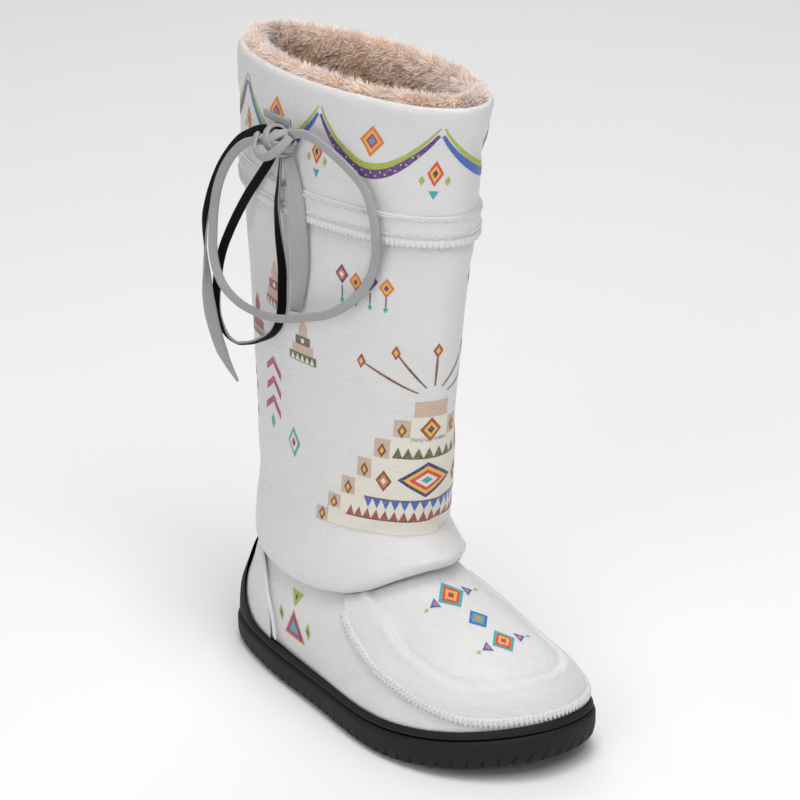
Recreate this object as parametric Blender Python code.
"""Right mukluk boot: white leather foot and shaft on a black rubber cupsole.

Metres, +Z up. The toe points along +X, the lateral side along -Y and the medial side along +Y.
The origin is on the floor, at the middle of the sole.
"""

import math

import bmesh
import bpy
import numpy as np

# Driving sizes of the sole
SOLE_LENGTH = 0.262
BALL_WIDTH = 0.110
OUTSOLE_HEIGHT = 0.0152
TOE_SPRING = 0.011
TOE_THICKENING = 0.0012
SPRING_START = 0.30
ARCH_LIFT = 0.0006
GROOVE_DEPTH = 0.0014
TREAD_EDGE_ROUND = 0.0045
MIDSOLE_FLOOR = 0.0025
RIM_HEIGHT = 0.0048
HEEL_CUP_HEIGHT = 0.0387
CUP_CLEARANCE = 0.0006
RIM_INSET = 0.0034
RIM_SETBACK = 0.0004
LIP_HEIGHT = 0.0011

# Driving sizes of the foot
INSTEP_HEIGHT = 0.082
UPPER_WALL = 0.0022
OVERLAY_WALL = 0.0012
OVERLAY_GAP = 0.0005
FIT_GAP = 0.0003
PIPING_RADIUS = 0.0013
INSOLE_THICKNESS = 0.0050
INSOLE_CLEARANCE = 0.0012
INSOLE_CHAMFER = 0.0012
PIPING_POINTS = 9

# Driving sizes of the shaft and collar
BOOT_HEIGHT = 0.344
COLLAR_LENGTH = 0.2046
COLLAR_WIDTH = 0.080
SHAFT_WALL = 0.0022
SHAFT_TOP_DROP = 0.0030
TUCK_HEIGHT = 0.014
TUCK_INSET = 0.0060
CUFF_LAP = 0.0025
SHAFT_LAP = 0.0005
SHAFT_LIP = 0.0020
BAND_PLACE = 0.8285
BAND_WIDTH = 0.0140
CUFF_WALL = 0.0016
BAND_WALL = 0.0012
CUFF_ROLL = 0.0022
CUFF_HEM_DROP = 0.0012
CUFF_HEM_RISE = 0.0004
CUFF_HEM_GAP = 0.0002
LINING_THICKNESS = 0.0080
LINING_GAP = 0.0006
LINING_FOOT = 0.108
LINING_CROWN = 0.0012
LINING_ROUND = 0.0100
LOCK_HEIGHT = 0.0045
LOCK_LEAN = 0.0022
INNER_LOCK_SHARE = 0.55
SHORTEST_LOCK_SHARE = 0.35
LOCK_SEED = 5

# Lace sizes
LACE_WIDTH = 0.0050
LACE_THICKNESS = 0.0016
LACE_BAR_LENGTH = 0.029
LACE_BAR_TURN = -9.0
LACE_BAR_COLUMNS = 5
LACE_BAR_HEIGHT = 0.3186
KNOT_HALF_SIZES = (0.0105, 0.0056, 0.0070)
KNOT_CENTRE = (-0.0320, -0.0462, 0.3105)
KNOT_SEGMENTS = 12
KNOT_RINGS = 7
LACE_POINT_GAP = 0.0145

# Tread sizes
NOTCH_PITCH = 0.0115
NOTCH_WIDTH = 0.0014
NOTCH_REACH = 0.0050
NOTCH_TOP = 0.0078
NOTCH_SLANT = math.radians(28)
NOTCH_OVERRUN = 0.0020
CHANNEL_PITCH = 0.0180
CHANNEL_WIDTH = 0.0032
CHANNEL_DEPTH = 0.0030
CHANNEL_END_LAND = 0.0130
CHANNEL_SHARE = 0.86

# Facets around every ring of the boot
COLUMNS = 40

HALF_LENGTH = SOLE_LENGTH / 2
HALF_WIDTH = BALL_WIDTH / 2
RIM_BASE = OUTSOLE_HEIGHT + FIT_GAP
FLOOR_TOP = RIM_BASE + MIDSOLE_FLOOR
RIM_TOP = OUTSOLE_HEIGHT + RIM_HEIGHT
BAND_TOP = BAND_PLACE * BOOT_HEIGHT
BAND_BOTTOM = BAND_TOP - BAND_WIDTH

# Plan of the sole. One row for each place around it, from the back of the heel along the lateral side
# to the toe and back along the medial side.
# along: share of half the sole's length; side: share of half the ball's width, lateral negative;
# cup: how far the heel cup stands up there, as a share of its full height;
# counter: share of the heel counter's thickness that lies under the rim there.
SOLE_ROWS = (
    # along, side, cup, counter
    (-1.000, -0.07, 1.00, 1.0),
    (-0.895, -0.545, 0.93, 1.0),
    (-0.700, -0.76, 0.04, 1.0),
    (-0.380, -0.88, 0.00, 1.0),
    (-0.040, -0.93, 0.00, 0.2),
    (0.290, -0.99, 0.00, 0.0),
    (0.550, -0.93, 0.00, 0.0),
    (0.785, -0.68, 0.00, 0.0),
    (0.945, -0.25, 0.00, 0.0),
    (1.000, 0.18, 0.00, 0.0),
    (0.955, 0.61, 0.00, 0.0),
    (0.810, 0.90, 0.00, 0.0),
    (0.535, 1.00, 0.00, 0.0),
    (0.230, 0.91, 0.00, 0.0),
    (-0.115, 0.76, 0.00, 0.2),
    (-0.420, 0.65, 0.00, 1.0),
    (-0.700, 0.61, 0.04, 1.0),
    (-0.910, 0.42, 0.93, 1.0),
)

# Foot of the upper at the same places.
# crest: where the wall turns over into the top, along and side as in the sole's rows, and its height as
# a share of the instep's; fold: where the shaft's lower lip meets it, in the same shares;
# turn: the angle round the shaft, in degrees from the back through the lateral side.
FOOT_ROWS = (
    # crest along, crest side, crest height, fold along, fold side, fold height, turn
    (-0.920, -0.06, 0.58, -0.870, -0.04, 0.83, 0),
    (-0.815, -0.43, 0.58, -0.800, -0.335, 0.82, 24),
    (-0.665, -0.65, 0.56, -0.630, -0.585, 0.79, 49),
    (-0.380, -0.80, 0.56, -0.380, -0.72, 0.76, 77),
    (-0.055, -0.83, 0.62, -0.095, -0.70, 0.79, 104),
    (0.230, -0.72, 0.78, 0.075, -0.56, 0.84, 128),
    (0.430, -0.63, 0.70, 0.170, -0.40, 0.93, 146),
    (0.670, -0.57, 0.63, 0.230, -0.20, 0.99, 160),
    (0.830, -0.26, 0.62, 0.252, -0.06, 1.01, 170.5),
    (0.878, 0.10, 0.62, 0.260, 0.05, 1.01, 180),
    (0.850, 0.44, 0.61, 0.245, 0.15, 1.01, 189.5),
    (0.740, 0.60, 0.61, 0.215, 0.28, 1.00, 200),
    (0.470, 0.66, 0.66, 0.150, 0.42, 0.94, 214),
    (0.230, 0.68, 0.73, 0.065, 0.55, 0.85, 232),
    (-0.075, 0.69, 0.68, -0.090, 0.67, 0.80, 256),
    (-0.395, 0.64, 0.58, -0.380, 0.69, 0.77, 283),
    (-0.690, 0.55, 0.55, -0.640, 0.56, 0.79, 311),
    (-0.830, 0.34, 0.58, -0.805, 0.30, 0.82, 336),
)

# Leather of the shaft and cuff, from the ankle up.
# height: share of the boot's; centre: share of half the sole's length; length and width: shares of the
# collar's.
SHAFT_ROWS = (
    # height, centre, length, width
    (0.300, -0.325, 0.715, 0.955),
    (0.350, -0.310, 0.738, 0.945),
    (0.436, -0.298, 0.758, 0.945),
    (0.523, -0.285, 0.794, 0.950),
    (0.610, -0.275, 0.833, 0.958),
    (0.698, -0.260, 0.861, 0.965),
    (0.776, -0.247, 0.900, 0.975),
    (0.828, -0.244, 0.919, 0.985),
    (0.872, -0.236, 0.928, 0.990),
    (0.916, -0.224, 0.945, 0.995),
    (0.959, -0.210, 0.975, 1.000),
    (1.000, -0.183, 1.000, 1.000),
)
SHAFT_SIDE = -0.01

# Where the foot's wall passes between the rim and the crest: share of the way inwards and of the way up
WALL_LEAN = 0.34
WALL_RISE = 0.62

# Bulge of the ankle fold over the foot, at the sole's places.
FOLD_BULGE = 0.0105
FOLD_BULGE_SHARES = (
    0.15, 0.15, 0.20, 0.32, 0.45, 0.60, 0.78, 0.92, 1.00,
    0.98, 0.85, 0.62, 0.42, 0.32, 0.28, 0.25, 0.20, 0.15,
)

# Moccasin seam of the vamp. Places up the foot's profile count 1 at the rim, 3 at the crest and 5 at the
# fold. Round the toe: the seam's place up at places around the sole.
VAMP_TOE_ROWS = (
    # place around, place up
    (5.30, 1.90),
    (6.10, 1.80),
    (6.60, 1.65),
    (7.20, 1.42),
    (7.70, 1.32),
    (9.00, 1.30),
    (10.30, 1.32),
    (10.80, 1.42),
    (11.40, 1.65),
    (11.90, 1.80),
    (12.70, 1.90),
)
# Up each side to the fold: the seam's place around, counted from the toe, at places up.
VAMP_SIDE_ROWS = (
    # place up, places from the toe
    (1.90, 3.70),
    (2.10, 4.00),
    (2.35, 4.22),
    (2.85, 4.48),
    (3.85, 4.68),
    (4.60, 4.75),
)

# Seam of the heel counter on each side, from the rim up to the fold.
COUNTER_SEAM_ROWS = (
    # place up, place around
    (1.00, 2.90),
    (2.00, 2.82),
    (3.00, 2.68),
    (4.00, 2.45),
    (5.00, 2.10),
)

# Where the piping ends, up the profile, and the part of the ankle that no overlay covers: from one place
# around to another, with the way over which its edge fades
PIPING_TOP = 4.85
BARE_ANKLE = (2.2, 4.2)
BARE_FADE = 0.4

# Routes of the lace's loops and ends, each from the knot outwards: along, side and height in metres.
LACE_LOOP_FRONT = (
    (-0.0438, -0.0496, 0.3086),
    (-0.0580, -0.0512, 0.3040),
    (-0.0740, -0.0520, 0.2910),
    (-0.0865, -0.0520, 0.2725),
    (-0.0920, -0.0520, 0.2520),
    (-0.0925, -0.0520, 0.2330),
    (-0.0870, -0.0510, 0.2205),
    (-0.0745, -0.0500, 0.2140),
    (-0.0580, -0.0490, 0.2120),
    (-0.0370, -0.0485, 0.2140),
    (-0.0120, -0.0465, 0.2210),
    (0.0050, -0.0425, 0.2270),
    (0.0165, -0.0378, 0.2350),
    (0.0262, -0.0337, 0.2460),
    (0.0328, -0.0325, 0.2600),
    (0.0360, -0.0340, 0.2735),
    (0.0343, -0.0345, 0.2860),
    (0.0298, -0.0352, 0.2963),
    (0.0221, -0.0374, 0.3040),
    (0.0093, -0.0406, 0.3118),
    (-0.0046, -0.0432, 0.3172),
    (-0.0140, -0.0450, 0.3180),
    (-0.0212, -0.0466, 0.3157),
)
LACE_LOOP_BACK = (
    (-0.0390, -0.0452, 0.3032),
    (-0.0460, -0.0449, 0.2950),
    (-0.0560, -0.0446, 0.2850),
    (-0.0720, -0.0430, 0.2700),
    (-0.0940, -0.0406, 0.2460),
    (-0.1045, -0.0402, 0.2300),
    (-0.1110, -0.0400, 0.2110),
    (-0.1125, -0.0396, 0.1940),
    (-0.1060, -0.0392, 0.1850),
    (-0.0950, -0.0394, 0.1823),
    (-0.0820, -0.0403, 0.1855),
    (-0.0685, -0.0413, 0.1910),
    (-0.0520, -0.0422, 0.2000),
    (-0.0440, -0.0426, 0.2085),
    (-0.0408, -0.0427, 0.2180),
    (-0.0395, -0.0428, 0.2290),
    (-0.0385, -0.0430, 0.2400),
    (-0.0385, -0.0446, 0.2600),
    (-0.0385, -0.0450, 0.2745),
    (-0.0362, -0.0448, 0.2870),
    (-0.0328, -0.0450, 0.3022),
)
LACE_END_LONG = (
    (-0.0437, -0.0457, 0.3140),
    (-0.0520, -0.0458, 0.3118),
    (-0.0620, -0.0455, 0.3075),
    (-0.0740, -0.0453, 0.3010),
    (-0.0920, -0.0455, 0.2840),
    (-0.1040, -0.0460, 0.2650),
    (-0.1105, -0.0460, 0.2485),
    (-0.1115, -0.0460, 0.2320),
    (-0.1112, -0.0460, 0.2180),
    (-0.1105, -0.0460, 0.2050),
    (-0.1075, -0.0452, 0.1900),
    (-0.1005, -0.0440, 0.1750),
    (-0.0880, -0.0430, 0.1625),
)
LACE_END_SHORT = (
    (-0.0262, -0.0450, 0.3030),
    (-0.0235, -0.0445, 0.2930),
    (-0.0200, -0.0450, 0.2800),
    (-0.0185, -0.0449, 0.2650),
    (-0.0195, -0.0438, 0.2500),
    (-0.0225, -0.0430, 0.2350),
    (-0.0270, -0.0428, 0.2195),
)

# Colours, sRGB 0 to 1, with roughness
LEATHER_WHITE = ((0.90, 0.90, 0.91), 0.42)
RUBBER_BLACK = ((0.05, 0.05, 0.05), 0.55)
FUR_BEIGE = ((0.83, 0.68, 0.55), 0.95)
THONG_GREY = ((0.68, 0.68, 0.68), 0.80)


def remove_everything():
    for thing in list(bpy.data.objects):
        bpy.data.objects.remove(thing, do_unlink=True)


def make_material(name, finish):
    colour, roughness = finish
    material = bpy.data.materials.new(name)
    material.use_nodes = True
    shader = material.node_tree.nodes["Principled BSDF"]
    shader.inputs["Base Color"].default_value = (*colour, 1.0)
    shader.inputs["Roughness"].default_value = roughness
    shader.inputs["Metallic"].default_value = 0.0
    return material


def add_object(name, mesh, material):
    mesh.materials.append(material)
    mesh.shade_smooth()
    mesh.set_sharp_from_angle(angle=math.radians(40))
    piece = bpy.data.objects.new(name, mesh)
    bpy.context.scene.collection.objects.link(piece)
    return piece


def mesh_from(name, points, faces):
    """A mesh of these points and faces, checked to face outwards."""
    build = bmesh.new()
    verts = [build.verts.new(point) for point in points]
    for face in faces:
        build.faces.new([verts[index] for index in face])
    bmesh.ops.recalc_face_normals(build, faces=build.faces)
    if build.calc_volume(signed=True) < 0:
        bmesh.ops.reverse_faces(build, faces=build.faces)
    mesh = bpy.data.meshes.new(name)
    build.to_mesh(mesh)
    build.free()
    return mesh


# Smooth curves through the tables


def closed_curve(rows, place):
    """The smooth closed curve through the rows, at a place counted in rows."""
    rows = np.asarray(rows, float)
    count = len(rows)
    matrix = 4 * np.eye(count) + np.roll(np.eye(count), 1, axis=0) + np.roll(np.eye(count), -1, axis=0)
    bends = np.linalg.solve(matrix, 6 * (np.roll(rows, -1, axis=0) - 2 * rows + np.roll(rows, 1, axis=0)))
    start = math.floor(place)
    share = place - start
    first, second = start % count, (start + 1) % count
    low = ((1 - share) ** 3 - (1 - share)) / 6
    high = (share**3 - share) / 6
    return (1 - share) * rows[first] + share * rows[second] + low * bends[first] + high * bends[second]


def open_curve(points, place):
    """The smooth curve through points at uneven distances, at a place counted in points."""
    points = [np.asarray(point, float) for point in points]
    last = len(points) - 1
    start = min(int(place), last - 1)
    share = place - start
    near = points[start], points[start + 1]
    before = points[start - 1] if start > 0 else 2 * near[0] - near[1]
    after = points[start + 2] if start + 2 <= last else 2 * near[1] - near[0]
    four = (before, near[0], near[1], after)
    knots = [0.0]
    for one, other in zip(four, four[1:]):
        knots.append(knots[-1] + math.sqrt(np.linalg.norm(other - one)))
    at = knots[1] + share * (knots[2] - knots[1])

    def mix(one, other, low, high):
        return ((high - at) * one + (at - low) * other) / (high - low)

    a1 = mix(four[0], four[1], knots[0], knots[1])
    a2 = mix(four[1], four[2], knots[1], knots[2])
    a3 = mix(four[2], four[3], knots[2], knots[3])
    b1 = mix(a1, a2, knots[0], knots[2])
    b2 = mix(a2, a3, knots[1], knots[3])
    return mix(b1, b2, knots[1], knots[2])


def row_between(rows, key):
    """The values of a table at a key that lies between two of its rows' first columns."""
    keys = [row[0] for row in rows]
    return [float(np.interp(key, keys, [row[column] for row in rows])) for column in range(1, len(rows[0]))]


# The sole's plan

PLACES = len(SOLE_ROWS)
COLUMN_PLACES = [PLACES * column / COLUMNS for column in range(COLUMNS)]


def raw_plan(place):
    along, side = closed_curve([row[:2] for row in SOLE_ROWS], place)
    return np.array([along * HALF_LENGTH, side * HALF_WIDTH])


PLAN_SAMPLES = np.array([raw_plan(place) for place in np.linspace(0, PLACES, 721)])
PLAN_LOW, PLAN_HIGH = PLAN_SAMPLES.min(axis=0), PLAN_SAMPLES.max(axis=0)


def plan_point(place):
    """A point of the sole's widest outline, which is centred and has exactly the named length and width."""
    size = np.array([SOLE_LENGTH, BALL_WIDTH])
    return (raw_plan(place) - (PLAN_LOW + PLAN_HIGH) / 2) * size / (PLAN_HIGH - PLAN_LOW)


def plan_outward(place):
    """The outward direction of the sole's outline."""
    step = 0.02
    along = plan_point(place + step) - plan_point(place - step)
    return np.array([along[1], -along[0]]) / np.linalg.norm(along)


def inset_plan(place, inset):
    return plan_point(place) - inset * plan_outward(place)


def floor_spring(along):
    """How far the toe spring lifts the tread at this distance along it."""
    start = SPRING_START * HALF_LENGTH
    return TOE_SPRING * max(0.0, (along - start) / (HALF_LENGTH - start)) ** 1.8


def spring(along):
    """How far everything over the sole is lifted there, the thicker toe of the sole included."""
    share = min(1.0, max(0.0, 0.5 + along / HALF_LENGTH))
    return floor_spring(along) + TOE_THICKENING * share


def arch(along):
    """How far the waist of the tread stands off the floor."""
    share = (along / HALF_LENGTH + 0.34) / 0.44
    return ARCH_LIFT * math.sin(math.pi * share) ** 2 if 0 < share < 1 else 0.0


def cup_share(place):
    return float(min(1.0, max(0.0, closed_curve([row[2:3] for row in SOLE_ROWS], place)[0])))


def counter_depth(place):
    """How far the heel counter and its gap stand out from the upper under the rim."""
    share = closed_curve([row[3:4] for row in SOLE_ROWS], place)[0]
    return float(min(1.0, max(0.0, share))) * (OVERLAY_GAP + OVERLAY_WALL)


# The foot of the upper


def foot_profile(place):
    """The outer profile of the foot at one place around it, from its edge in the sole up into the shaft."""
    row = foot_row(place)
    inset = RIM_INSET + counter_depth(place)
    edge = inset_plan(place, inset)
    lift = spring(edge[0])
    foot = np.array([*edge, FLOOR_TOP + 2 * FIT_GAP + lift])
    rim = np.array([*edge, RIM_TOP + lift])
    crest = np.array([row[0] * HALF_LENGTH, row[1] * HALF_WIDTH, row[2] * INSTEP_HEIGHT])
    fold = np.array([row[3] * HALF_LENGTH, row[4] * HALF_WIDTH, row[5] * INSTEP_HEIGHT])
    wall = rim + (crest - rim) * np.array([WALL_LEAN, WALL_LEAN, WALL_RISE])
    instep = (crest + fold) / 2
    centre = np.array([SHAFT_ROWS[0][1] * HALF_LENGTH, SHAFT_SIDE * HALF_WIDTH])
    inward = centre - fold[:2]
    inward /= np.linalg.norm(inward)
    top = np.array([*(fold[:2] + TUCK_INSET * inward), fold[2] + TUCK_HEIGHT])
    return [foot, rim, wall, crest, instep, fold, top]


def foot_row(place):
    """The foot table at a place; its turn column climbs by 360 degrees in one round."""
    rows = np.array(FOOT_ROWS)
    steady = rows.copy()
    steady[:, 6] -= 360 * np.arange(PLACES) / PLACES
    row = closed_curve(steady, place)
    row[6] += 360 * place / PLACES
    return row


def foot_point(place, up):
    return open_curve(foot_profile(place), up)


def foot_outward(place, up):
    """The outward direction of the foot's surface."""
    step, rise = 0.05, 0.04
    low, high = max(0.0, up - rise), min(6.0, up + rise)
    around = foot_point(place + step, up) - foot_point(place - step, up)
    along = foot_point(place, high) - foot_point(place, low)
    outward = np.cross(around, along)
    return outward / np.linalg.norm(outward)


def foot_skin(place, up, off):
    return foot_point(place, up) + off * foot_outward(place, up)


def foot_height_place(place, height):
    """How far up the profile the foot reaches a height."""
    low, high = 0.0, 5.0
    for _ in range(24):
        middle = (low + high) / 2
        if foot_point(place, middle)[2] < height:
            low = middle
        else:
            high = middle
    return (low + high) / 2


# Grids of points


def ring_faces(rings, columns, first=0):
    """Faces between closed rings of points, numbered ring by ring, all split along the same diagonal."""
    faces = []
    for ring in range(rings - 1):
        for column in range(columns):
            following = (column + 1) % columns
            low, high = first + ring * columns, first + (ring + 1) * columns
            faces.append((low + column, low + following, high + following))
            faces.append((low + column, high + following, high + column))
    return faces


def ladder_faces(columns, first, upward):
    """Quads across a closed ring, between its two sides, from its first point to the opposite one."""
    faces = []
    half = columns // 2
    for rung in range(half):
        near = (first + rung, first + rung + 1)
        far = (first + (columns - rung) % columns, first + columns - rung - 1)
        if rung == 0:
            face = [near[0], near[1], far[1]]
        elif rung == half - 1:
            face = [near[0], near[1], far[0]]
        else:
            face = [near[0], near[1], far[1], far[0]]
        faces.append(face if upward else face[::-1])
    return faces


def closed_body(name, rings):
    """A solid of stacked rings, closed across its first ring and its last."""
    columns = len(rings[0])
    points = [point for ring in rings for point in ring]
    faces = ring_faces(len(rings), columns)
    faces += ladder_faces(columns, 0, False)
    faces += ladder_faces(columns, (len(rings) - 1) * columns, True)
    return mesh_from(name, points, faces)


def tube_body(name, rings):
    """A solid ring whose profile goes round through all of the rings and back to the first."""
    columns = len(rings[0])
    points = [point for ring in rings for point in ring]
    faces = ring_faces(len(rings), columns)
    last = (len(rings) - 1) * columns
    for column in range(columns):
        following = (column + 1) % columns
        faces.append((last + column, last + following, following, column))
    return mesh_from(name, points, faces)


def patch_body(name, outer, inner):
    """A solid plate between two matching open grids of points, given as lists of rows."""
    rows, columns = len(outer), len(outer[0])
    points = [point for row in outer for point in row] + [point for row in inner for point in row]
    back = rows * columns
    faces = []
    for row in range(rows - 1):
        for column in range(columns - 1):
            corner = row * columns + column
            above = corner + columns
            for split in ((corner, corner + 1, above + 1), (corner, above + 1, above)):
                faces.append(split)
                faces.append(tuple(back + index for index in reversed(split)))
    edge = [column for column in range(columns)]
    edge += [row * columns + columns - 1 for row in range(1, rows)]
    edge += [(rows - 1) * columns + column for column in range(columns - 2, -1, -1)]
    edge += [row * columns for row in range(rows - 2, 0, -1)]
    for one, other in zip(edge, edge[1:] + edge[:1]):
        faces.append((other, one, back + one, back + other))
    return mesh_from(name, points, faces)


# The sole


def sole_ring(inset, height, floor):
    """A ring of the sole; its height follows the toe spring, and the arch too on the floor side."""
    ring = []
    for place in COLUMN_PLACES:
        x, y = inset_plan(place, inset)
        ring.append((x, y, height + (floor_spring(x) + arch(x) if floor else spring(x))))
    return ring


OUTSOLE_RINGS = (
    # inset, share of the outsole's height, on the floor side
    (TREAD_EDGE_ROUND, 0.00, True),
    (0.32 * TREAD_EDGE_ROUND, 0.13, True),
    (0.06 * TREAD_EDGE_ROUND, 0.34, False),
    (0.0, 0.70, False),
    (GROOVE_DEPTH, 1.00, False),
)


def box_points(centre, along, across, up, size):
    """The eight corners of a box with these three directions."""
    corners = []
    for a in (-0.5, 0.5):
        for b in (-0.5, 0.5):
            for c in (-0.5, 0.5):
                corners.append(centre + a * size[0] * along + b * size[1] * across + c * size[2] * up)
    return corners


BOX_FACES = ((0, 1, 3, 2), (4, 6, 7, 5), (0, 4, 5, 1), (2, 3, 7, 6), (0, 2, 6, 4), (1, 5, 7, 3))


def tread_cutter():
    """The notches round the tread's edge and the channels across it, as one cutter."""
    points, faces = [], []

    def add_box(corners):
        first = len(points)
        points.extend(corners)
        faces.extend(tuple(first + index for index in face) for face in BOX_FACES)

    steps = np.linalg.norm(np.diff(PLAN_SAMPLES, axis=0), axis=1)
    lengths = np.concatenate([[0.0], np.cumsum(steps)])
    notches = int(round(lengths[-1] / NOTCH_PITCH))
    for notch in range(notches):
        share = float(np.interp((notch + 0.5) * lengths[-1] / notches, lengths, np.linspace(0, PLACES, 721)))
        outward = np.array([*plan_outward(share), 0.0])
        around = np.array([-outward[1], outward[0], 0.0])
        slanted = math.cos(NOTCH_SLANT) * np.array([0, 0, 1.0]) + math.sin(NOTCH_SLANT) * around
        x, y = plan_point(share)
        floor = floor_spring(x)
        centre = np.array([x, y, floor + NOTCH_TOP / 2 - NOTCH_OVERRUN])
        size = (2 * NOTCH_REACH, NOTCH_WIDTH, (NOTCH_TOP + 2 * NOTCH_OVERRUN) / math.cos(NOTCH_SLANT))
        across = np.cross(slanted, outward)
        add_box(box_points(centre, outward, across, slanted, size))
    channels = int(CHANNEL_SHARE * SOLE_LENGTH / CHANNEL_PITCH)
    for channel in range(channels):
        x = (channel - (channels - 1) / 2) * CHANNEL_PITCH
        reach = PLAN_SAMPLES[np.abs(PLAN_SAMPLES[:, 0] - x) < 0.004]
        low, high = reach[:, 1].min() + CHANNEL_END_LAND, reach[:, 1].max() - CHANNEL_END_LAND
        floor = floor_spring(x) + arch(x)
        centre = np.array([x, (low + high) / 2, floor])
        size = (CHANNEL_WIDTH, high - low, 2 * CHANNEL_DEPTH)
        add_box(box_points(centre, np.array([1.0, 0, 0]), np.array([0, 1.0, 0]), np.array([0, 0, 1.0]), size))
    return mesh_from("tread_cutter", points, faces)


def make_outsole(material):
    rings = [sole_ring(inset, share * OUTSOLE_HEIGHT, floor) for inset, share, floor in OUTSOLE_RINGS]
    outsole = add_object("outsole", closed_body("outsole", rings), material)
    cutter = add_object("tread_cutter", tread_cutter(), material)
    cutter.hide_render = True
    cutter.display_type = "WIRE"
    cut = outsole.modifiers.new("tread", "BOOLEAN")
    cut.operation = "DIFFERENCE"
    cut.object = cutter
    cut.solver = "EXACT"


# Rim of the midsole: share of its height, and how much of its full thickness is left there.
RIM_ROWS = (
    (0.00, 1.00),
    (0.45, 0.86),
    (0.80, 0.55),
    (1.00, 0.20),
)
RIM_INNER_SHARES = (0.94, 0.60, 0.30, 0.0)

# How the midsole's gap to the leather widens: over the counter, and where the cup's edge climbs
COUNTER_EASE = 1.1
CUP_SLOPE_EASE = 2.2
CUP_SLOPE_STEP = 0.2

# Insole's rings: share of the chamfer, share of the thickness
INSOLE_ROWS = (
    (0.0, 0.0),
    (0.0, 0.75),
    (1.0, 1.0),
)


def rim_height(place):
    x = plan_point(place)[0]
    return RIM_TOP + spring(x) + cup_share(place) * HEEL_CUP_HEIGHT


def rim_skin(place, height, off):
    """A point beside the foot at a height, this far out of its surface, level with it."""
    up = foot_height_place(place, height)
    point, outward = foot_point(place, up), foot_outward(place, up)
    flat = outward[:2] / np.linalg.norm(outward[:2])
    return (point[0] + off * flat[0], point[1] + off * flat[1], height)


def make_midsole(material):
    groove, outer, inner = [], [[] for _ in RIM_ROWS], [[] for _ in RIM_INNER_SHARES]
    lip = RIM_BASE + LIP_HEIGHT
    for place in COLUMN_PLACES:
        x, y = inset_plan(place, GROOVE_DEPTH)
        groove.append((x, y, RIM_BASE + spring(x)))
        top = rim_height(place)
        base = lip + spring(x)
        slope = abs(cup_share(place + CUP_SLOPE_STEP) - cup_share(place - CUP_SLOPE_STEP)) / (2 * CUP_SLOPE_STEP)
        gap = OVERLAY_GAP + COUNTER_EASE * counter_depth(place)
        gap += CUP_CLEARANCE * (cup_share(place) + CUP_SLOPE_EASE * slope)
        full = RIM_INSET + counter_depth(place) - RIM_SETBACK - gap
        for ring, (share, left) in zip(outer, RIM_ROWS):
            ring.append(rim_skin(place, base + share * (top - base), gap + left * full))
        low = FLOOR_TOP + spring(x)
        for ring, share in zip(inner, RIM_INNER_SHARES):
            ring.append(rim_skin(place, low + share * (top - low), gap))
    rings = [groove] + outer + inner
    add_object("midsole", closed_body("midsole", rings), material)


def make_insole(material):
    inset = RIM_INSET + OVERLAY_GAP + OVERLAY_WALL + UPPER_WALL + INSOLE_CLEARANCE
    low = FLOOR_TOP + 2 * FIT_GAP
    rings = []
    for chamfer, rise in INSOLE_ROWS:
        rings.append(sole_ring(inset + chamfer * INSOLE_CHAMFER, low + rise * INSOLE_THICKNESS, False))
    add_object("insole", closed_body("insole", rings), material)


# The upper, its vamp and its heel counter

UPPER_RINGS = (0.0, 1.0, 1.45, 2.0, 2.5, 3.0, 3.4, 4.0, 4.5, 5.0, 6.0)
UPPER_INNER_RINGS = (0.0, 1.0, 2.0, 3.0, 4.0, 5.0, 6.0)


def facet_skin(place, up, off):
    """A point this far out of the upper's own facets, so that a piece laid over it follows them."""
    before = math.floor(place * COLUMNS / PLACES + 1e-9)
    share = place * COLUMNS / PLACES - before
    ring = max(index for index, value in enumerate(UPPER_RINGS[:-1]) if value <= up)
    low, high = UPPER_RINGS[ring], UPPER_RINGS[ring + 1]
    rise = (up - low) / (high - low)
    point = np.zeros(3)
    for column, around in ((before, 1 - share), (before + 1, share)):
        for level, part in ((low, 1 - rise), (high, rise)):
            if around * part > 1e-9:
                point += around * part * foot_skin(PLACES * column / COLUMNS % PLACES, level, off)
    return point


def make_upper(material):
    outer = [[foot_point(place, up) for place in COLUMN_PLACES] for up in UPPER_RINGS]
    inner = [[foot_skin(place, up, -UPPER_WALL) for place in COLUMN_PLACES] for up in UPPER_INNER_RINGS]
    for ring, skin in ((0, inner[0]), (-1, inner[-1])):
        for column, point in enumerate(skin):
            point[2] = outer[ring][column][2]
    add_object("upper", tube_body("upper", outer + inner[::-1]), material)


VAMP_RINGS = (0.0, 1.45, 2.0, 2.5, 3.0, 3.4, 4.0, 4.5, 5.03)

# How close the squeezed rings and columns stand along a seam, in places up and around
SQUEEZE_UP = 0.03
SQUEEZE_AROUND = 0.02


def make_vamp(material):
    """The vamp, on the upper's own rings and columns, which are squeezed together along its seam."""
    toe = PLACES / 2
    widest = max(row[1] for row in VAMP_SIDE_ROWS)
    columns = [place - toe for place in COLUMN_PLACES if abs(place - toe) < widest]
    outer, inner = [], []
    for order, ring in enumerate(VAMP_RINGS):
        spots = []
        for index, column in enumerate(columns):
            seam = row_between(VAMP_TOE_ROWS, toe + column)[0]
            up = max(ring, seam + SQUEEZE_UP * order)
            reach = row_between(VAMP_SIDE_ROWS, up)[0]
            low = -reach + SQUEEZE_AROUND * index
            high = reach - SQUEEZE_AROUND * (len(columns) - 1 - index)
            spots.append((toe + min(high, max(low, column)), up))
        inner.append([facet_skin(place, up, OVERLAY_GAP) for place, up in spots])
        outer.append([facet_skin(place, up, OVERLAY_GAP + OVERLAY_WALL) for place, up in spots])
    add_object("vamp", patch_body("vamp", outer, inner), material)


def counter_seam(up):
    """The counter seam's place around, at a place up the profile."""
    return row_between(COUNTER_SEAM_ROWS, up)[0]


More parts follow.
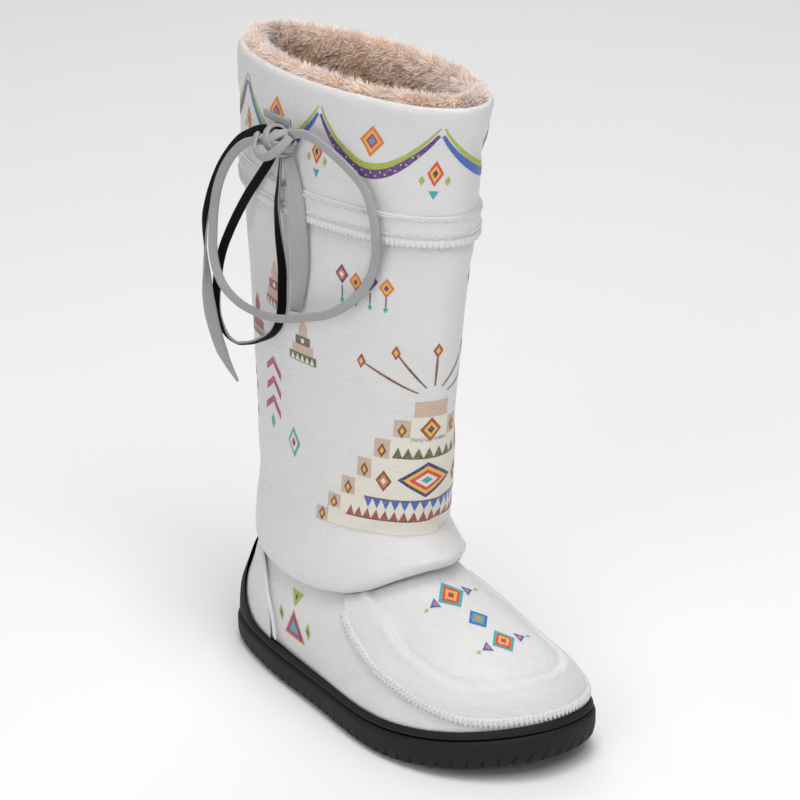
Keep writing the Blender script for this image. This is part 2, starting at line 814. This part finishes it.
COUNTER_RINGS = (0.3, 1.0, 1.45, 2.0, 2.5, 3.0, 3.4, 4.0, 4.5, 5.03)
COUNTER_SEAM_GAP = 0.09


def make_heel_counter(material):
    """The heel counter, on the upper's own rings and columns, squeezed together along its two seams."""
    furthest = max(row[1] for row in COUNTER_SEAM_ROWS)
    side = [place for place in COLUMN_PLACES if place < furthest]
    outer, inner = [], []
    for up in COUNTER_RINGS:
        reach = counter_seam(up) - COUNTER_SEAM_GAP
        half = [min(place, reach - SQUEEZE_AROUND * (len(side) - 1 - index)) for index, place in enumerate(side)]
        places = [-place for place in reversed(half)][:-1] + half
        inner.append([facet_skin(place % PLACES, up, OVERLAY_GAP) for place in places])
        outer.append([facet_skin(place % PLACES, up, OVERLAY_GAP + OVERLAY_WALL) for place in places])
    add_object("heel_counter", patch_body("heel_counter", outer, inner), material)


def make_tube(name, points, radius, material, sides_level=2):
    """A round cord through these points, with flat ends."""
    curve = bpy.data.curves.new(name, "CURVE")
    curve.dimensions = "3D"
    curve.bevel_depth = radius
    curve.bevel_resolution = sides_level
    curve.use_fill_caps = True
    spline = curve.splines.new("POLY")
    spline.points.add(len(points) - 1)
    for target, point in zip(spline.points, points):
        target.co = (*point, 1.0)
    curve.materials.append(material)
    piece = bpy.data.objects.new(name, curve)
    bpy.context.scene.collection.objects.link(piece)
    return piece


def make_heel_piping(name, side, material):
    start = foot_height_place(COUNTER_SEAM_ROWS[0][1], RIM_TOP + PIPING_RADIUS)
    off = OVERLAY_GAP + PIPING_RADIUS
    points = []
    for up in np.linspace(start, PIPING_TOP, PIPING_POINTS):
        points.append(foot_skin(side * counter_seam(up) % PLACES, float(up), off))
    make_tube(name, points, PIPING_RADIUS, material, 1)


# The shaft, cuff, band and lining


def shaft_point(place, height, off):
    """A point of the shaft's leather at a height, moved out of it by off."""
    rows = [(row[0] * BOOT_HEIGHT, *row[1:]) for row in SHAFT_ROWS]
    centre, length, width = row_between(rows, height)
    turn = math.radians(foot_row(place)[6])
    half_length = length * COLLAR_LENGTH / 2
    half_width = width * COLLAR_WIDTH / 2
    x, y = -math.cos(turn) * half_length, -math.sin(turn) * half_width
    normal = np.array([x / half_length**2, y / half_width**2])
    normal /= np.linalg.norm(normal)
    return np.array([
        centre * HALF_LENGTH + x + off * normal[0],
        SHAFT_SIDE * HALF_WIDTH + y + off * normal[1],
        height,
    ])


def shaft_ring(height, off):
    return [shaft_point(place, height, off) for place in COLUMN_PLACES]


def cover_depth(place):
    """How far the vamp or the heel counter stands out of the upper at the fold."""
    place = min(place, PLACES - place)
    bare = min(1.0, max(0.0, min(place - BARE_ANKLE[0], BARE_ANKLE[1] - place) / BARE_FADE))
    return (1 - bare) * (OVERLAY_GAP + OVERLAY_WALL)


def fold_ring(rise, share, off):
    """A ring of the ankle fold: rise above the foot's fold line, and share of the bulge."""
    ring = []
    for place in COLUMN_PLACES:
        fold = foot_skin(place, 5.0, cover_depth(place) + FIT_GAP)
        centre = np.array([SHAFT_ROWS[0][1] * HALF_LENGTH, SHAFT_SIDE * HALF_WIDTH])
        outward = fold[:2] - centre
        outward /= np.linalg.norm(outward)
        bulge = FOLD_BULGE * closed_curve([[value] for value in FOLD_BULGE_SHARES], place)[0]
        x, y = fold[:2] + (share * bulge + off) * outward
        ring.append(np.array([x, y, fold[2] + rise]))
    return ring


# Ankle fold, outside from its lip up and inside back down: rise over the foot's fold line, share of the
# bulge, and how far out of it
FOLD_OUTER_ROWS = (
    (0.0006, 0.00, 0.0016),
    (0.0050, 0.85, 0.0014),
    (0.0105, 1.00, 0.0014),
)
FOLD_INNER_ROWS = (
    (0.0105, 0.70, 0.0),
    (0.0050, 0.55, 0.0),
    (0.0006, 0.00, 0.0002),
)

SHAFT_BODY_SHARES = (0.300, 0.350, 0.523, 0.698, 0.776)
LINED_SHARES = (0.350, 0.523, 0.776)
CUFF_ROLL_SHARE = 0.9
CUFF_HEIGHTS = (BAND_TOP, 0.916 * BOOT_HEIGHT, 0.959 * BOOT_HEIGHT)


def make_shaft(material):
    """The shaft's tube, thinned where the cuff wraps it, from the ankle fold to the collar."""
    under_cuff = CUFF_WALL + OVERLAY_GAP
    outer = [fold_ring(*row) for row in FOLD_OUTER_ROWS]
    outer += [shaft_ring(share * BOOT_HEIGHT, 0.0) for share in SHAFT_BODY_SHARES]
    heights = (BAND_BOTTOM + SHAFT_LAP, *CUFF_HEIGHTS, BOOT_HEIGHT - SHAFT_TOP_DROP - SHAFT_LIP)
    outer += [shaft_ring(height, -under_cuff) for height in heights]
    inner = [shaft_ring(height, -under_cuff - SHAFT_WALL) for height in heights[:0:-1]]
    for share in reversed(LINED_SHARES):
        inner.append(shaft_ring(share * BOOT_HEIGHT, -SHAFT_WALL - under_cuff))
    inner.append(shaft_ring(SHAFT_BODY_SHARES[0] * BOOT_HEIGHT, -SHAFT_WALL))
    inner += [fold_ring(*row) for row in FOLD_INNER_ROWS]
    add_object("shaft", tube_body("shaft", outer + inner), material)


def make_cuff(material):
    """The top panel, wrapped round the shaft and rolled over its upper edge."""
    base = BAND_BOTTOM + CUFF_LAP
    top = BOOT_HEIGHT - CUFF_ROLL
    outer = [shaft_ring(height, 0.0) for height in (base, *CUFF_HEIGHTS, top)]
    outer.append(shaft_ring(BOOT_HEIGHT, -CUFF_ROLL_SHARE * CUFF_ROLL))
    reach = CUFF_WALL + OVERLAY_GAP + SHAFT_WALL + CUFF_HEM_GAP
    hem = top - CUFF_HEM_DROP
    inner = [shaft_ring(BOOT_HEIGHT - CUFF_HEM_RISE, -reach), shaft_ring(hem, -reach)]
    for height in (hem, *reversed(CUFF_HEIGHTS), base):
        inner.append(shaft_ring(height, -CUFF_WALL))
    add_object("cuff", tube_body("cuff", outer + inner), material)


def make_band(material):
    """The raised band that laps over the cuff's lower edge."""
    low, high = OVERLAY_GAP, OVERLAY_GAP + BAND_WALL
    rings = [
        shaft_ring(BAND_BOTTOM, high),
        shaft_ring(BAND_TOP, high),
        shaft_ring(BAND_TOP, low),
        shaft_ring(BAND_BOTTOM, low),
    ]
    add_object("cuff_band", tube_body("cuff_band", rings), material)


def make_lining(material):
    """The shearling inside the shaft, with pointed locks drawn out of its rim and upper wall."""
    reach = CUFF_WALL + OVERLAY_GAP + SHAFT_WALL + LINING_GAP
    outer = [shaft_ring(LINING_FOOT, -reach)]
    for height in (*(share * BOOT_HEIGHT for share in LINED_SHARES), *CUFF_HEIGHTS):
        outer.append(shaft_ring(height, -reach))
    outer.append(shaft_ring(BOOT_HEIGHT - CUFF_ROLL, -reach - LINING_GAP))
    outer.append(shaft_ring(BOOT_HEIGHT + LINING_CROWN, -reach))
    thick = reach + LINING_THICKNESS
    inner = [shaft_ring(BOOT_HEIGHT, -thick + LINING_CROWN), shaft_ring(BOOT_HEIGHT - LINING_ROUND, -thick)]
    inner.append(shaft_ring(LINED_SHARES[1] * BOOT_HEIGHT, -thick))
    inner.append(shaft_ring(LINING_FOOT, -thick))
    rings = outer + inner
    mesh = tube_body("fur_lining", rings)
    crown = len(outer) - 1
    build = bmesh.new()
    build.from_mesh(mesh)
    build.faces.ensure_lookup_table()
    chance = np.random.default_rng(LOCK_SEED)
    rows = (crown, crown + 1)
    tufts = [build.faces[2 * (row * COLUMNS + column) + half] for row in rows for column in range(COLUMNS)
             for half in (0, 1)]
    for order, face in enumerate(tufts):
        height = LOCK_HEIGHT * chance.uniform(SHORTEST_LOCK_SHARE, 1.0)
        if order >= 2 * COLUMNS:
            height *= INNER_LOCK_SHARE
        lean = LOCK_LEAN * chance.uniform(-1.0, 1.0)
        poked = bmesh.ops.poke(build, faces=[face], offset=0.0, center_mode="MEAN_WEIGHTED")
        tip = poked["verts"][0]
        outward = face.normal.copy() if face.is_valid else poked["faces"][0].normal.copy()
        side = outward.cross((0.0, 0.0, 1.0))
        if side.length > 1e-6:
            side.normalize()
        tip.co += outward * height + side * lean
    build.to_mesh(mesh)
    build.free()
    add_object("fur_lining", mesh, material)


# The lace: its bar through the cuff, its knot, and the cords that hang from the knot


def make_lace_bar(material):
    """The stretch of lace that lies on the cuff between its slots."""
    turn = math.radians(LACE_BAR_TURN)
    outer, inner = [], []
    reach = LACE_BAR_LENGTH / COLLAR_LENGTH
    for side in (-0.5, 0.5):
        height = LACE_BAR_HEIGHT + side * LACE_WIDTH
        rows = [(row[0] * BOOT_HEIGHT, *row[1:]) for row in SHAFT_ROWS]
        centre, length, width = row_between(rows, height)
        near, far = [], []
        for step in np.linspace(-reach, reach, LACE_BAR_COLUMNS):
            angle = turn + step
            x = centre * HALF_LENGTH + math.sin(angle) * length * COLLAR_LENGTH / 2
            y = SHAFT_SIDE * HALF_WIDTH - math.cos(angle) * width * COLLAR_WIDTH / 2
            near.append((x, y - FIT_GAP, height))
            far.append((x, y - FIT_GAP - LACE_THICKNESS, height))
        inner.append(near)
        outer.append(far)
    add_object("lace_bar", patch_body("lace_bar", outer, inner), material)


def make_lace_knot(material):
    """The knot, as a rounded lump that the loops and the ends come out of."""
    points, faces = [], []
    wide, deep, high = KNOT_HALF_SIZES
    x, y, z = KNOT_CENTRE
    for ring in range(1, KNOT_RINGS):
        tilt = math.pi * ring / KNOT_RINGS
        for step in range(KNOT_SEGMENTS):
            angle = 2 * math.pi * step / KNOT_SEGMENTS
            level = wide * math.sin(tilt) * math.cos(angle), deep * math.sin(tilt) * math.sin(angle)
            points.append((x + level[0], y + level[1], z - high * math.cos(tilt)))
    faces = ring_faces(KNOT_RINGS - 1, KNOT_SEGMENTS)
    bottom, top = len(points), len(points) + 1
    points += [(x, y, z - high), (x, y, z + high)]
    last = (KNOT_RINGS - 2) * KNOT_SEGMENTS
    for step in range(KNOT_SEGMENTS):
        following = (step + 1) % KNOT_SEGMENTS
        faces.append((bottom, following, step))
        faces.append((top, last + step, last + following))
    add_object("lace_knot", mesh_from("lace_knot", points, faces), material)


def make_lace_cord(name, route, material):
    """A loop or an end of the lace along its route, as a cord as thick as the lace is wide."""
    fine = [open_curve(route, place) for place in np.linspace(0, len(route) - 1, 12 * len(route))]
    steps = np.linalg.norm(np.diff(fine, axis=0), axis=1)
    lengths = np.concatenate([[0.0], np.cumsum(steps)])
    count = max(6, round(lengths[-1] / LACE_POINT_GAP))
    points = []
    for along in np.linspace(0, lengths[-1], count):
        points.append([float(np.interp(along, lengths, [point[axis] for point in fine])) for axis in range(3)])
    make_tube(name, points, LACE_WIDTH / 2, material)


def main():
    remove_everything()
    leather = make_material("white_leather", LEATHER_WHITE)
    rubber = make_material("black_rubber", RUBBER_BLACK)
    fur = make_material("shearling", FUR_BEIGE)
    make_outsole(rubber)
    make_midsole(rubber)
    make_insole(fur)
    make_upper(leather)
    make_vamp(leather)
    make_heel_counter(leather)
    make_heel_piping("heel_piping_lateral", 1, leather)
    make_heel_piping("heel_piping_medial", -1, leather)
    make_shaft(leather)
    make_cuff(leather)
    make_band(leather)
    make_lining(fur)
    thong = make_material("suede_thong", THONG_GREY)
    make_lace_bar(thong)
    make_lace_knot(thong)
    make_lace_cord("lace_loop_front", LACE_LOOP_FRONT, thong)
    make_lace_cord("lace_loop_back", LACE_LOOP_BACK, thong)
    make_lace_cord("lace_end_long", LACE_END_LONG, thong)
    make_lace_cord("lace_end_short", LACE_END_SHORT, thong)


if __name__ == "__main__":
    main()
